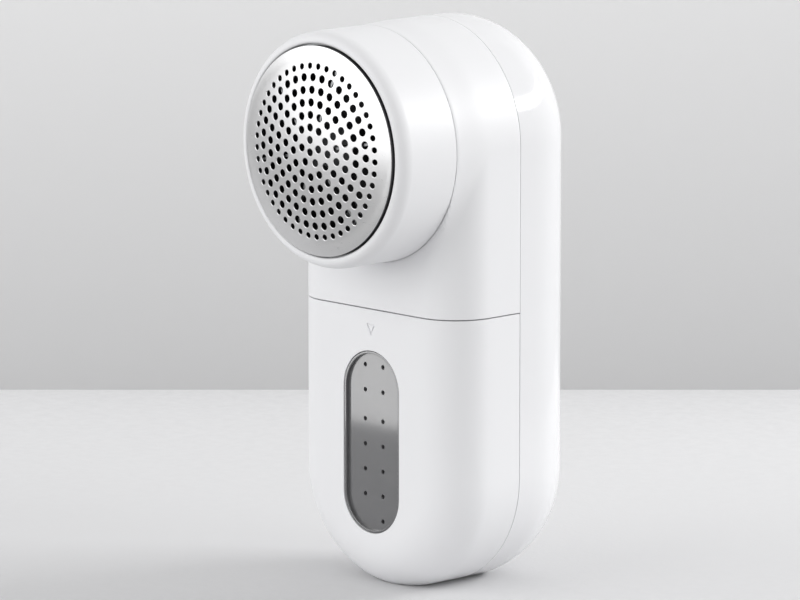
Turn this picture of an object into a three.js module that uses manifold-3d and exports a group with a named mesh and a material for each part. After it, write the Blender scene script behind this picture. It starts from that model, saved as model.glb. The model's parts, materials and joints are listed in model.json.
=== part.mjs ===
// Rechargeable fabric shaver (lint remover): an upright pill-shaped body with a round
// cutter head on its front, a slide-out lint bin below it and the drive inside.
//
// Millimetres. +Z up, the foil faces -Y, +X is on the right of somebody who faces the foil.
// The origin lies on the flat underside, below the middle of the body's depth.
import * as THREE from "three";
import { mergeVertices } from "three/addons/utils/BufferGeometryUtils.js";
import Module from "manifold-3d";

const wasm = await Module();
wasm.setup();

// ---------------------------------------------------------------- driving dimensions
const BODY_RADIUS = 30; // half the width of the pill outline
const BODY_TOP = 142.5;
const BODY_FRONT = -24;
const BODY_BACK = 24;
const FRONT_ROUND = 11.8; // radius of the soft edge round the front face
const BACK_ROUND = 18.9; // radius of the softer edge round the back
const BASE_SAG = 1; // how much the underside is cut flat to stand on
const WALL = 2;
const GAP = 0.3; // between any two pieces that touch
const BIN_SEAM = 70.9; // height of the seam between front shell and lint bin
const SIDE_SEAM = -1.3; // depth of the seam between the front pieces and the rear shell

const HEAD_RADIUS = 29.5;
const HEAD_SEAM = -22.8; // where the collar meets the front shell
const COLLAR_FRONT = -41.4;
const FOIL_RADIUS = 26.2;
const FOIL_EDGE = -41.9;
const FOIL_TIP = -44.7;
const FOIL_THICKNESS = 0.35;
const HOLE_PITCH = 3.08; // radial step between rings of holes in the foil
const HOLE_RADIUS = 1;

const WINDOW_HALF_WIDTH = 10;
const WINDOW_BOTTOM = 13.8;
const WINDOW_TOP = 60.3;
const WINDOW_RECESS = 1;
const VENT_X = 3.18;
const VENT_RADIUS = 0.6;
const VENT_ROWS = [56.4, 50, 42.6, 36.2, 29.8, 23.45, 17.1]; // the last has its +X vent only

const MOTOR_RADIUS = 12.2;
const SHAFT_RADIUS = 1;
const BLADE_COUNT = 6;
const BLADE_TIP = 22;

const CELL_RADIUS = 7.1; // 14500 cell
const CELL_LENGTH = 50.2;

const SCREW_RADIUS = 1;
const SCREW_HEAD = 1.9;

// ---------------------------------------------------------------- places that follow
const HEAD_Z = BODY_TOP - BODY_RADIUS;
const BOTTOM_Z = BODY_RADIUS - BASE_SAG; // centre of the outline's lower half circle
const SEAM_HALF = GAP / 2;
const BIN_TOP = BIN_SEAM - SEAM_HALF;
const SHELL_BOTTOM = BIN_SEAM + SEAM_HALF;
const FRONT_HALF_END = SIDE_SEAM - SEAM_HALF;
const REAR_HALF_START = SIDE_SEAM + SEAM_HALF;
const STUB_FRONT = HEAD_SEAM + SEAM_HALF;
const COLLAR_REAR = HEAD_SEAM - SEAM_HALF;
const BULKHEAD_BACK = STUB_FRONT + 3; // wall behind the cutter that carries the motor
const MOTOR_FRONT = BULKHEAD_BACK + GAP;
const DECK_BACK = STUB_FRONT - GAP;
const DECK_FRONT = DECK_BACK - WALL;
const BARREL_FRONT = -38;
const BARREL_RADIUS = 25; // outside of the cutter housing
const OUTLET = { halfWidth: 10, bottom: 91, top: 98 }; // lint passage under the motor
const CHUTE = { halfWidth: 16, back: -6.5, wall: 1.2, top: 99.6 };
const CHASSIS = { front: -1, back: 1.5, top: 98 };
const RAIL_X = 14;
const CELL_Y = 10.2;
const CELL_BOTTOM = 13.9;
const BOARD = { front: 18.6, back: 19.8, halfWidth: 10.5, bottom: 17, top: 97 };
const SWITCH_Z = 89.5; // middle of the power slider's stem when it is off
const SWITCH_TRAVEL = 4;
const USB_Z = 26;
const LED_Z = 77;
const PLUNGER_Z = HEAD_Z + 25.9;
const FAR = 200;

// ---------------------------------------------------------------- materials
function plastic(color, roughness = 0.35) {
  return new THREE.MeshStandardMaterial({ color, roughness, metalness: 0 });
}

function metal(color, roughness = 0.3) {
  return new THREE.MeshStandardMaterial({ color, roughness, metalness: 1 });
}

const white = plastic(0xf1f2f1, 0.3);
const innerWhite = plastic(0xe4e6e6, 0.5);
const smoke = plastic(0x8e9296, 0.2);
smoke.transparent = true;
smoke.opacity = 0.6;
const darkGrey = plastic(0x3c3f42, 0.5);
const black = plastic(0x1b1c1e, 0.5);
const green = plastic(0x1f5a3a, 0.5);
const red = plastic(0xb3221d, 0.45);
const cellWrap = plastic(0x3f6f9f, 0.4);
const clear = plastic(0xe9eef0, 0.1);
const rubber = plastic(0x55585a, 0.8);
const steel = metal(0xb9bcc0, 0.3);
const brightSteel = metal(0xd6d8da, 0.18);
const zincSteel = metal(0x9fa2a4, 0.4);
const nickel = metal(0xc9c4b4, 0.3);

// ---------------------------------------------------------------- solids
// A closed three.js geometry as a manifold solid, with its faces pointing out.
function solid(geometry) {
  const bare = geometry.index ? geometry.clone() : geometry;
  bare.deleteAttribute("normal");
  bare.deleteAttribute("uv");
  const merged = mergeVertices(bare, 1e-4);
  const place = merged.getAttribute("position");
  const corner = Array.from(merged.index.array);
  const faces = [];
  const a = new THREE.Vector3();
  const b = new THREE.Vector3();
  const c = new THREE.Vector3();
  let volume = 0;
  for (let i = 0; i < corner.length; i += 3) {
    const [p, q, r] = corner.slice(i, i + 3);
    if (p === q || q === r || r === p) continue;
    faces.push([p, q, r]);
    a.fromBufferAttribute(place, p);
    b.fromBufferAttribute(place, q);
    c.fromBufferAttribute(place, r);
    volume += a.dot(b.cross(c));
  }
  const outward = volume > 0 ? faces : faces.map(([p, q, r]) => [p, r, q]);
  return new wasm.Manifold(new wasm.Mesh({
    numProp: 3,
    vertProperties: new Float32Array(place.array),
    triVerts: new Uint32Array(outward.flat()),
  }));
}

function box(x0, x1, y0, y1, z0, z1) {
  const geometry = new THREE.BoxGeometry(x1 - x0, y1 - y0, z1 - z0);
  return solid(geometry.translate((x0 + x1) / 2, (y0 + y1) / 2, (z0 + z1) / 2));
}

// A round bar from depth y0 to y1 whose axis passes through x, z.
function barY(radius, y0, y1, x = 0, z = HEAD_Z, sides = 16) {
  const geometry = new THREE.CylinderGeometry(radius, radius, y1 - y0, sides);
  return solid(geometry.translate(x, (y0 + y1) / 2, z));
}

function barZ(radius, z0, z1, x, y, sides = 16) {
  const geometry = new THREE.CylinderGeometry(radius, radius, z1 - z0, sides);
  return solid(geometry.rotateX(Math.PI / 2).translate(x, y, (z0 + z1) / 2));
}

// A [radius, depth] profile turned about the head's axis.
function turned(profile, sides = 36) {
  const points = profile.map(([radius, y]) => new THREE.Vector2(radius, y));
  return solid(new THREE.LatheGeometry(points, sides).translate(0, 0, HEAD_Z));
}

function tube(inner, outer, y0, y1, sides = 28) {
  return turned([[inner, y0], [outer, y0], [outer, y1], [inner, y1], [inner, y0]], sides);
}

function pillShape(radius, zLow, zHigh) {
  const shape = new THREE.Shape();
  shape.absarc(0, zHigh, radius, 0, Math.PI, false);
  shape.absarc(0, zLow, radius, Math.PI, 2 * Math.PI, false);
  return shape;
}

// A flat piece whose outline lies in X and Z, from depth y0 to y1.
function plate(shape, y0, y1, options = {}) {
  const geometry = new THREE.ExtrudeGeometry(shape, {
    depth: y1 - y0,
    bevelEnabled: false,
    curveSegments: 8,
    ...options,
  });
  return solid(geometry.rotateX(Math.PI / 2).translate(0, y1, 0));
}

// A pill-shaped block whose two faces have a quarter-round edge.
function roundedPill(radius, zLow, zHigh, y0, y1, round) {
  return plate(pillShape(radius, zLow, zHigh), y0 + round, y1 - round, {
    curveSegments: 8,
    bevelEnabled: true,
    bevelThickness: round,
    bevelSize: round,
    bevelOffset: -round,
    bevelSegments: 4,
  });
}

function thread(curve, radius, steps, sides = 6) {
  const section = new THREE.Shape();
  for (let i = 0; i < sides; i += 1) {
    const angle = (2 * Math.PI * i) / sides;
    const point = [radius * Math.cos(angle), radius * Math.sin(angle)];
    if (i === 0) section.moveTo(...point);
    else section.lineTo(...point);
  }
  return solid(new THREE.ExtrudeGeometry(section, { steps, extrudePath: curve }));
}

class Coil extends THREE.Curve {
  constructor(radius, y0, y1, turns, z) {
    super();
    Object.assign(this, { radius, y0, y1, turns, z });
  }

  getPoint(t, target = new THREE.Vector3()) {
    const angle = 2 * Math.PI * this.turns * t;
    return target.set(
      this.radius * Math.cos(angle),
      THREE.MathUtils.lerp(this.y0, this.y1, t),
      this.z + this.radius * Math.sin(angle),
    );
  }
}

// A place in X and Z, by radius and angle about the head's axis.
const polar = (radius, degrees) => {
  const angle = THREE.MathUtils.degToRad(degrees);
  return [radius * Math.cos(angle), HEAD_Z + radius * Math.sin(angle)];
};

const above = (z) => box(-FAR, FAR, -FAR, FAR, z, FAR);
const below = (z) => box(-FAR, FAR, -FAR, FAR, -FAR, z);
const before = (y) => box(-FAR, FAR, -FAR, y, -FAR, FAR);
const behind = (y) => box(-FAR, FAR, y, FAR, -FAR, FAR);

// ---------------------------------------------------------------- assembly
const shaver = new THREE.Group();

function add(name, piece, material) {
  const data = piece.getMesh();
  const geometry = new THREE.BufferGeometry();
  geometry.setAttribute("position", new THREE.BufferAttribute(data.vertProperties, 3));
  geometry.setIndex(new THREE.BufferAttribute(data.triVerts, 1));
  geometry.computeVertexNormals();
  const mesh = new THREE.Mesh(geometry, material);
  mesh.name = name;
  shaver.add(mesh);
}

// ---------------------------------------------------------------- casing
// The front half of the body's outside, or its hollow when inset by the wall.
function frontForm(inset) {
  return roundedPill(
    BODY_RADIUS - inset,
    BOTTOM_Z + inset / 2,
    HEAD_Z,
    BODY_FRONT + inset,
    FRONT_HALF_END + 3 * FRONT_ROUND,
    FRONT_ROUND - inset,
  ).subtract(behind(FRONT_HALF_END + inset));
}

function rearForm(inset) {
  return roundedPill(
    BODY_RADIUS - inset,
    BOTTOM_Z + inset / 2,
    HEAD_Z,
    REAR_HALF_START - 3 * BACK_ROUND,
    BODY_BACK - inset,
    BACK_ROUND - inset,
  ).subtract(before(REAR_HALF_START - inset));
}

const REAR_BOSSES = [[-18, 24], [18, 24], [-18, 60], [18, 60]];
const FRONT_BOSSES = [[-20, 86], [20, 86]];
const BOARD_BOSSES = [[-7.5, 72], [7.5, 94]];
const BOSS_RADIUS = 3;

function addRearShell() {
  const outside = rearForm(0);
  let shell = outside.subtract(rearForm(WALL));
  for (const [x, z] of REAR_BOSSES) {
    const start = CHASSIS.back + GAP;
    const post = barY(BOSS_RADIUS, start, FAR, x, z, 8).intersect(outside);
    shell = shell.add(post).subtract(barY(SCREW_RADIUS + GAP, start - 1, start + 9, x, z, 6));
  }
  for (const [x, z] of BOARD_BOSSES) {
    const start = BOARD.back + GAP;
    const post = barY(2.2, start, FAR, x, z, 8).intersect(outside);
    shell = shell.add(post).subtract(barY(0.8 + GAP, start - 1, start + 2.6, x, z, 6));
  }
  const slotTop = SWITCH_Z + 2 + SWITCH_TRAVEL + GAP;
  const recess = pillShape(5.3, SWITCH_Z - 1.6, SWITCH_Z + 5.6);
  shell = shell
    .subtract(below(0))
    .subtract(plate(recess, BODY_BACK - 1, FAR, { curveSegments: 5 }))
    .subtract(box(-2.3, 2.3, 20, FAR, SWITCH_Z - 2 - GAP, slotTop))
    .subtract(usbOutline(0.4, 20, FAR))
    .subtract(barY(1.8, 20, FAR, 0, LED_Z));
  add("rear_shell", shell, white);
}

function addFrontShell() {
  const head = barY(HEAD_RADIUS, STUB_FRONT, -10, 0, HEAD_Z, 36);
  const outside = frontForm(0).add(head);
  const headSpace = barY(HEAD_RADIUS + 0.4, -FAR, BULKHEAD_BACK, 0, HEAD_Z, 36);
  const hollow = frontForm(WALL)
    .subtract(headSpace)
    .add(barY(HEAD_RADIUS - WALL, BULKHEAD_BACK, -9, 0, HEAD_Z, 36))
    .subtract(below(SHELL_BOTTOM + WALL));
  let shell = outside
    .subtract(hollow)
    .subtract(below(SHELL_BOTTOM))
    .subtract(barY(HEAD_RADIUS + GAP, -FAR, STUB_FRONT, 0, HEAD_Z, 36));
  for (const [x, z] of FRONT_BOSSES) {
    const end = CHASSIS.front - GAP - 0.15;
    shell = shell
      .add(barY(BOSS_RADIUS, -FAR, end, x, z, 8).intersect(outside))
      .subtract(barY(SCREW_RADIUS + GAP, end - 8, end + 1, x, z, 6));
  }
  const stop = box(-4.5, 4.5, -7.2, -5.4, 132, FAR).intersect(outside);
  const floorHole = box(
    -CHUTE.halfWidth - GAP, CHUTE.halfWidth + GAP,
    MOTOR_FRONT - GAP, CHUTE.back + GAP, 0, SHELL_BOTTOM + 5,
  );
  shell = shell
    .add(stop)
    .subtract(floorHole)
    .subtract(box(-OUTLET.halfWidth, OUTLET.halfWidth, -FAR, -15, OUTLET.bottom, OUTLET.top))
    .subtract(barY(4.5, -FAR, -15))
    .subtract(barY(0.9 + GAP, -FAR, -15, 0, PLUNGER_Z, 10));
  for (const [x, z] of MOTOR_SCREWS) {
    shell = shell
      .subtract(barY(SCREW_RADIUS + GAP, -FAR, -15, x, z, 8))
      .subtract(barY(SCREW_HEAD + GAP, -FAR, STUB_FRONT + 1.6, x, z, 12));
  }
  for (const [x, z] of HOUSING_SCREWS) {
    shell = shell.subtract(barY(SCREW_RADIUS + GAP, -FAR, STUB_FRONT + 2.2, x, z, 8));
  }
  add("front_shell", shell, white);
}

// ---------------------------------------------------------------- lint bin
function addLintBin() {
  const outside = frontForm(0).subtract(above(BIN_TOP));
  const backWall = FRONT_HALF_END - WALL;
  let bin = outside.subtract(frontForm(WALL).subtract(behind(backWall)));
  for (const side of [-1, 1]) {
    const x = side * RAIL_X;
    const pad = box(x - 4.3, x + 4.3, -6.4, FRONT_HALF_END, 0, BIN_TOP);
    bin = bin
      .add(pad.intersect(outside))
      .subtract(box(x - 1.3, x + 1.3, -3, 0, 9, FAR))
      .subtract(box(x - 2.3, x + 2.3, -4.4, -2.3, 9, FAR));
  }
  const mark = new THREE.Shape();
  mark.moveTo(-1.55, 67.2);
  mark.lineTo(1.55, 67.2);
  mark.lineTo(0, 64.1);
  const opening = pillShape(
    WINDOW_HALF_WIDTH,
    WINDOW_BOTTOM + WINDOW_HALF_WIDTH,
    WINDOW_TOP - WINDOW_HALF_WIDTH,
  );
  bin = bin
    .subtract(plate(mark, -FAR, BODY_FRONT + 0.4))
    .subtract(plate(opening, -FAR, -15))
    .subtract(below(0));
  add("lint_bin", bin, white);
}

function addBinWindow() {
  const low = WINDOW_BOTTOM + WINDOW_HALF_WIDTH;
  const high = WINDOW_TOP - WINDOW_HALF_WIDTH;
  const flangeFront = BODY_FRONT + WALL + GAP;
  const pane = pillShape(WINDOW_HALF_WIDTH - GAP, low, high);
  const flange = pillShape(WINDOW_HALF_WIDTH + 1.6, low, high);
  const back = flangeFront + 0.8;
  let window = plate(pane, BODY_FRONT + WINDOW_RECESS, back)
    .add(plate(flange, flangeFront, back));
  const lowest = VENT_ROWS.at(-1);
  for (const z of VENT_ROWS) {
    for (const side of z === lowest ? [1] : [-1, 1]) {
      window = window.subtract(barY(VENT_RADIUS, -FAR, 0, side * VENT_X, z, 5));
    }
  }
  add("bin_window", window, smoke);
}

// ---------------------------------------------------------------- cutter head
function addCollar() {
  const inside = 27.1;
  const lip = { radius: 26.5, back: COLLAR_FRONT + 0.8 };
  const flange = { radius: 25.4, front: COLLAR_REAR - 1.45 };
  const round = { radial: 2.6, axial: 3.6, steps: 4 };
  const edge = [];
  for (let i = 0; i <= round.steps; i += 1) {
    const angle = (Math.PI / 2) * (i / round.steps);
    edge.push([
      HEAD_RADIUS - round.radial * (1 - Math.sin(angle)),
      COLLAR_FRONT + round.axial * (1 - Math.cos(angle)),
    ]);
  }
  const profile = [
    [lip.radius, COLLAR_FRONT],
    ...edge,
    [HEAD_RADIUS, COLLAR_REAR],
    [flange.radius, COLLAR_REAR],
    [flange.radius, flange.front],
    [inside, flange.front],
    [inside, lip.back],
    [lip.radius, lip.back],
    [lip.radius, COLLAR_FRONT],
  ];
  add("collar", turned(profile), white);
}

// Depth of the foil's outer face at a given radius: a shallow dome.
const DOME_RADIUS = (FOIL_RADIUS ** 2 + (FOIL_EDGE - FOIL_TIP) ** 2) / (2 * (FOIL_EDGE - FOIL_TIP));
const domeY = (radius) => FOIL_TIP + DOME_RADIUS - Math.sqrt(DOME_RADIUS ** 2 - radius ** 2);

// Centres of the foil's holes, in rings round a centre hole: [holes in the ring, first angle].
const HOLE_RINGS = [[5, 19], [12, 1], [18, 11], [24, 1], [30, 7], [36, 1]];

function foilHoles() {
  const centres = [[0, HEAD_Z]];
  HOLE_RINGS.forEach(([count, turn], ring) => {
    for (let i = 0; i < count; i += 1) {
      centres.push(polar(HOLE_PITCH * (ring + 1), turn + (360 * i) / count));
    }
  });
  return centres;
}

function addFoil() {
  const rims = [0, 13, 25.6];
  const outer = rims.map((radius) => [radius, domeY(radius)]);
  const inner = rims.map((radius) => [radius, domeY(radius) + FOIL_THICKNESS]).reverse();
  const skirtEnd = -40.3;
  const skirtInside = FOIL_RADIUS - FOIL_THICKNESS;
  const profile = [
    ...outer,
    [FOIL_RADIUS, FOIL_EDGE + 0.3],
    [FOIL_RADIUS, skirtEnd],
    [skirtInside, skirtEnd],
    [skirtInside, FOIL_EDGE + 0.5],
    ...inner,
  ];
  let foil = turned(profile, 24);
  const squared = Math.sqrt(Math.PI / 2); // a four-sided hole with a round hole's area
  for (const [x, z] of foilHoles()) {
    foil = foil.subtract(barY(HOLE_RADIUS * squared, -60, -30, x, z, 4));
  }
  add("foil", foil, steel);
}

function addFoilFrame() {
  const inside = 24.6;
  const flange = { radius: 26.8, front: -40, back: -39.2 };
  const neck = { radius: 25.3, front: -41.2 };
  add("foil_frame", turned([
    [inside, neck.front],
    [neck.radius, neck.front],
    [neck.radius, flange.front],
    [flange.radius, flange.front],
    [flange.radius, flange.back],
    [inside, flange.back],
    [inside, neck.front],
  ], 28), zincSteel);
  add("foil_seal", tube(23.7, 24.9, -38.9, -38.3), rubber);
}

const MOTOR_SCREWS = [polar(8, 0), polar(8, 180)];
const HOUSING_SCREWS = [polar(20, 90), polar(20, 210), polar(20, 330)];

function addCutterHousing() {
  const inside = BARREL_RADIUS - 1.5;
  let housing = turned([
    [0, DECK_BACK],
    [0, DECK_FRONT],
    [inside, DECK_FRONT],
    [inside, BARREL_FRONT],
    [BARREL_RADIUS, BARREL_FRONT],
    [BARREL_RADIUS, DECK_BACK],
    [0, DECK_BACK],
  ], 32);
  housing = housing
    .subtract(barY(4.5, -30, -15))
    .subtract(box(-OUTLET.halfWidth, OUTLET.halfWidth, -30, -15, OUTLET.bottom, OUTLET.top));
  for (const [x, z] of HOUSING_SCREWS) {
    housing = housing.subtract(barY(SCREW_RADIUS + GAP, -30, -15, x, z, 8));
  }
  add("cutter_housing", housing, black);
}

function addLintChute() {
  const { halfWidth, back, wall, top } = CHUTE;
  const bottom = SHELL_BOTTOM + 0.25;
  const chute = box(-halfWidth, halfWidth, MOTOR_FRONT, back, bottom, top)
    .subtract(box(
      wall - halfWidth, halfWidth - wall,
      MOTOR_FRONT + wall, back - wall, 0, top - wall,
    ))
    .subtract(box(-OUTLET.halfWidth, OUTLET.halfWidth, -30, -15, OUTLET.bottom, OUTLET.top));
  add("lint_chute", chute, innerWhite);
}

// ---------------------------------------------------------------- screws
// A screw along Y. Its head is at depth headStart, and the shank runs on to depth tip.
function addScrew(name, x, z, headStart, headEnd, tip) {
  const inward = Math.sign(tip - headStart);
  const low = Math.min(headStart, headEnd);
  const high = Math.max(headStart, headEnd);
  const driver = headStart + 0.5 * inward;
  const slot = box(x - 1.2, x + 1.2, Math.min(headStart - inward, driver),
    Math.max(headStart - inward, driver), z - 0.25, z + 0.25);
  const screw = barY(SCREW_HEAD, low, high, x, z, 10)
    .add(barY(SCREW_RADIUS, Math.min(low, tip), Math.max(high, tip), x, z, 6))
    .subtract(slot);
  add(name, screw, zincSteel);
}

function addScrews() {
  MOTOR_SCREWS.forEach(([x, z], i) => {
    addScrew(`motor_screw_${i + 1}`, x, z, STUB_FRONT + 0.2, STUB_FRONT + 1.3, MOTOR_FRONT + 2);
  });
  HOUSING_SCREWS.forEach(([x, z], i) => {
    const seat = DECK_FRONT - GAP;
    addScrew(`housing_screw_${i + 1}`, x, z, seat - 1.2, seat, STUB_FRONT + 1.9);
  });
  FRONT_BOSSES.forEach(([x, z], i) => {
    const seat = CHASSIS.back + GAP;
    addScrew(`front_shell_screw_${i + 1}`, x, z, seat + 1.3, seat, -8);
  });
  REAR_BOSSES.forEach(([x, z], i) => {
    addScrew(`rear_shell_screw_${i + 1}`, x, z, CHASSIS.front + 0.1, CHASSIS.front + 1.1, 9);
  });
}

// ---------------------------------------------------------------- chassis
function addChassis() {
  const outline = pillShape(BODY_RADIUS - WALL - 0.4, BOTTOM_Z + WALL, HEAD_Z);
  let chassis = plate(outline, CHASSIS.front, CHASSIS.back).subtract(above(CHASSIS.top));
  for (const side of [-1, 1]) {
    const x = side * RAIL_X;
    chassis = chassis
      .add(box(x - 1, x + 1, -3, CHASSIS.front + 0.5, 9.5, BIN_TOP - GAP))
      .add(box(x - 2, x + 2, -4.1, -2.6, 9.5, BIN_TOP - GAP));
  }
  for (const [x, z] of [...REAR_BOSSES, ...FRONT_BOSSES]) {
    chassis = chassis.subtract(barY(SCREW_RADIUS + GAP, -5, 5, x, z, 8));
  }
  for (const [x, z] of REAR_BOSSES) {
    const recess = barY(SCREW_HEAD + GAP, -5, CHASSIS.front + 1.1 + GAP, x, z, 12);
    chassis = chassis.subtract(recess);
  }
  add("chassis", chassis, darkGrey);
}

// ---------------------------------------------------------------- drive
const MOTOR_BACK = 9;
const COUPLER = { front: -31, back: -25, radius: 3.2 };
const HUB = { front: -38, ceiling: -34.6, back: -26.5, radius: 8.5 };

function addMotor() {
  const inside = MOTOR_RADIUS - 1;
  const nose = { radius: 3.2, front: MOTOR_FRONT - 2.2 };
  let can = turned([
    [SHAFT_RADIUS + GAP, nose.front],
    [nose.radius, nose.front],
    [nose.radius, MOTOR_FRONT],
    [MOTOR_RADIUS, MOTOR_FRONT],
    [MOTOR_RADIUS, MOTOR_BACK],
    [inside, MOTOR_BACK],
    [inside, MOTOR_FRONT + 3],
    [SHAFT_RADIUS + GAP, MOTOR_FRONT + 3],
    [SHAFT_RADIUS + GAP, nose.front],
  ], 24);
  for (const [x, z] of MOTOR_SCREWS) {
    can = can.subtract(barY(SCREW_RADIUS + GAP, MOTOR_FRONT - 1, MOTOR_FRONT + 2.4, x, z, 8));
  }
  add("motor_can", can, brightSteel);
  const capFront = MOTOR_BACK + GAP;
  add("motor_end_cap", turned([
    [0, capFront + 2],
    [3.4, capFront + 2],
    [3.4, capFront + 3],
    [0, capFront + 3],
    [0, capFront + 2],
  ], 24).add(barY(MOTOR_RADIUS, capFront, capFront + 2.2, 0, HEAD_Z, 24)), black);
  [-1, 1].forEach((side, i) => {
    const x = side * 7;
    const tab = box(x - 1.2, x + 1.2, capFront + 2.5, capFront + 5.5, HEAD_Z - 0.3, HEAD_Z + 0.3);
    add(`motor_terminal_${i + 1}`, tab, nickel);
  });
  const rotor = barY(9.6, MOTOR_FRONT + 5, MOTOR_BACK - 3, 0, HEAD_Z, 20)
    .subtract(barY(SHAFT_RADIUS + GAP, -FAR, FAR, 0, HEAD_Z, 10));
  add("motor_rotor", rotor, nickel);
  add("motor_shaft", barY(SHAFT_RADIUS, -29.5, MOTOR_BACK - 0.5, 0, HEAD_Z, 10), brightSteel);
}

function addCutter() {
  const coupler = barY(COUPLER.radius, COUPLER.front, COUPLER.back, 0, HEAD_Z, 6)
    .subtract(barY(SHAFT_RADIUS + GAP, -29.8, -20, 0, HEAD_Z, 10));
  add("drive_coupler", coupler, innerWhite);
  let hub = barY(HUB.radius, HUB.front, HUB.ceiling + 1, 0, HEAD_Z, 24)
    .add(barY(5.4, HUB.ceiling, HUB.back, 0, HEAD_Z, 20))
    .subtract(barY(COUPLER.radius + 0.4, HUB.ceiling, -20, 0, HEAD_Z, 6));
  const slotDepth = 1.5;
  const edge = (radius) => domeY(radius) + FOIL_THICKNESS + GAP;
  const outline = new THREE.Shape();
  outline.moveTo(5, HUB.front + slotDepth - GAP);
  outline.lineTo(8.2, HUB.front + slotDepth - GAP);
  outline.lineTo(11, -39.2);
  outline.lineTo(BLADE_TIP, -40.4);
  for (const radius of [BLADE_TIP, 16, 11, 5]) outline.lineTo(radius, edge(radius));
  const halfThick = 0.3;
  for (let i = 0; i < BLADE_COUNT; i += 1) {
    const angle = (2 * Math.PI * i) / BLADE_COUNT + 0.2;
    const blade = new THREE.ExtrudeGeometry(outline, { depth: 2 * halfThick, bevelEnabled: false });
    blade.translate(0, 0, -halfThick).rotateY(-angle).translate(0, 0, HEAD_Z);
    const slot = new THREE.BoxGeometry(6, slotDepth + 1, 2 * halfThick + 2 * GAP);
    slot.translate(4.5 + 3, HUB.front + slotDepth / 2 - 0.5, 0);
    slot.rotateY(-angle).translate(0, 0, HEAD_Z);
    hub = hub.subtract(solid(slot));
    add(`blade_${i + 1}`, solid(blade), brightSteel);
  }
  add("blade_hub", hub, darkGrey);
  const spring = new Coil(1.7, HUB.ceiling + 0.6, COUPLER.front - 0.6, 3, HEAD_Z);
  add("float_spring", thread(spring, 0.25, 24, 4), brightSteel);
}

// ---------------------------------------------------------------- foil interlock
function addInterlock() {
  const plunger = barY(0.9, STUB_FRONT, -18.5, 0, PLUNGER_Z, 10)
    .add(barY(1.3, -19.2, -18.4, 0, PLUNGER_Z, 10))
    .add(barY(0.6, -18.5, -17, 0, PLUNGER_Z, 8));
  add("interlock_plunger", plunger, innerWhite);
  const spring = new Coil(1.1, -17.9, -13.6, 4, PLUNGER_Z);
  add("interlock_spring", thread(spring, 0.16, 28, 4), brightSteel);
  const switchBody = box(-3, 3, -13.1, -7.5, PLUNGER_Z - 6.3, PLUNGER_Z + 0.4)
    .add(barY(0.5, -15.5, -13, 0, PLUNGER_Z - 0.3, 8));
  add("interlock_switch", switchBody, black);
}

// ---------------------------------------------------------------- power
function addBattery() {
  const top = CELL_BOTTOM + CELL_LENGTH;
  const cell = barZ(CELL_RADIUS, CELL_BOTTOM, top, 0, CELL_Y, 24);
  add("battery_cell", cell, cellWrap);
  const contact = { thickness: 0.4, reach: 8.5 };
  const contactAt = (side, z0) => box(
    side < 0 ? -contact.reach : -6, side < 0 ? 6 : contact.reach,
    CELL_Y + 0.6, CELL_Y + 3.6, z0, z0 + contact.thickness,
  );
  const low = CELL_BOTTOM - GAP - contact.thickness;
  add("battery_contact_minus", contactAt(-1, low), nickel);
  add("battery_contact_plus", contactAt(1, top + GAP), nickel);
  const wallLow = low - GAP;
  const wallHigh = top + 2 * GAP + contact.thickness;
  const holder = box(-9.2, 9.2, CHASSIS.back + GAP, CELL_Y, wallLow - 1.4, wallHigh + 1.4)
    .subtract(barZ(CELL_RADIUS + GAP, wallLow, wallHigh, 0, CELL_Y, 24))
    .add(box(-6, 6, CELL_Y - 1, CELL_Y + 4.5, wallLow - 1.4, wallLow))
    .add(box(-6, 6, CELL_Y - 1, CELL_Y + 4.5, wallHigh, wallHigh + 1.4));
  add("battery_holder", holder, black);
}

// The rounded outline of the charging socket, grown by a clearance.
function usbOutline(grow, y0, y1) {
  const radius = 1.6 + grow;
  const reach = 2.9;
  return barY(radius, y0, y1, -reach, USB_Z, 12)
    .add(barY(radius, y0, y1, reach, USB_Z, 12))
    .add(box(-reach, reach, y0, y1, USB_Z - radius, USB_Z + radius));
}

function addElectronics() {
  const { front, back, halfWidth, bottom, top } = BOARD;
  let board = box(-halfWidth, halfWidth, front, back, bottom, top);
  for (const [x, z] of BOARD_BOSSES) board = board.subtract(barY(0.8 + GAP, 0, FAR, x, z, 8));
  add("main_board", board, green);
  BOARD_BOSSES.forEach(([x, z], i) => {
    const seat = front - GAP;
    const screw = barY(1.6, seat - 0.9, seat, x, z, 12).add(barY(0.8, seat - 0.9, 22.2, x, z, 8));
    add(`board_screw_${i + 1}`, screw, zincSteel);
  });
  const mounted = back + GAP;
  const socket = usbOutline(0, mounted, BODY_BACK - 0.3)
    .subtract(usbOutline(-0.35, mounted + 0.5, FAR))
    .add(box(-3.3, 3.3, mounted + 0.2, BODY_BACK - 0.8, USB_Z - 0.35, USB_Z + 0.35));
  add("usb_socket", socket, nickel);
  const body = box(-4.3, 4.3, mounted, 21.7, SWITCH_Z - 3.5, SWITCH_Z + 7.5)
    .subtract(box(-1.3, 1.3, 20.4, FAR, SWITCH_Z - 1.3, SWITCH_Z + 1.3 + SWITCH_TRAVEL));
  add("switch_body", body, black);
  add("switch_actuator", box(-1, 1, 20.7, 22.7, SWITCH_Z - 1, SWITCH_Z + 1), darkGrey);
  add("status_led", box(-0.8, 0.8, mounted, 20.6, LED_Z - 0.8, LED_Z + 0.8), clear);
  const pipe = barY(1.5, 20.9, BODY_BACK, 0, LED_Z, 12).add(barY(2.4, 20.9, 21.7, 0, LED_Z, 12));
  add("led_light_pipe", pipe, clear);
  add("charge_chip", box(-3.5, 1.5, front - GAP - 0.9, front - GAP, 68, 72), black);
  add("capacitor", barY(2.5, front - GAP - 5.5, front - GAP, 0, 81, 14), darkGrey);
}

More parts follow.
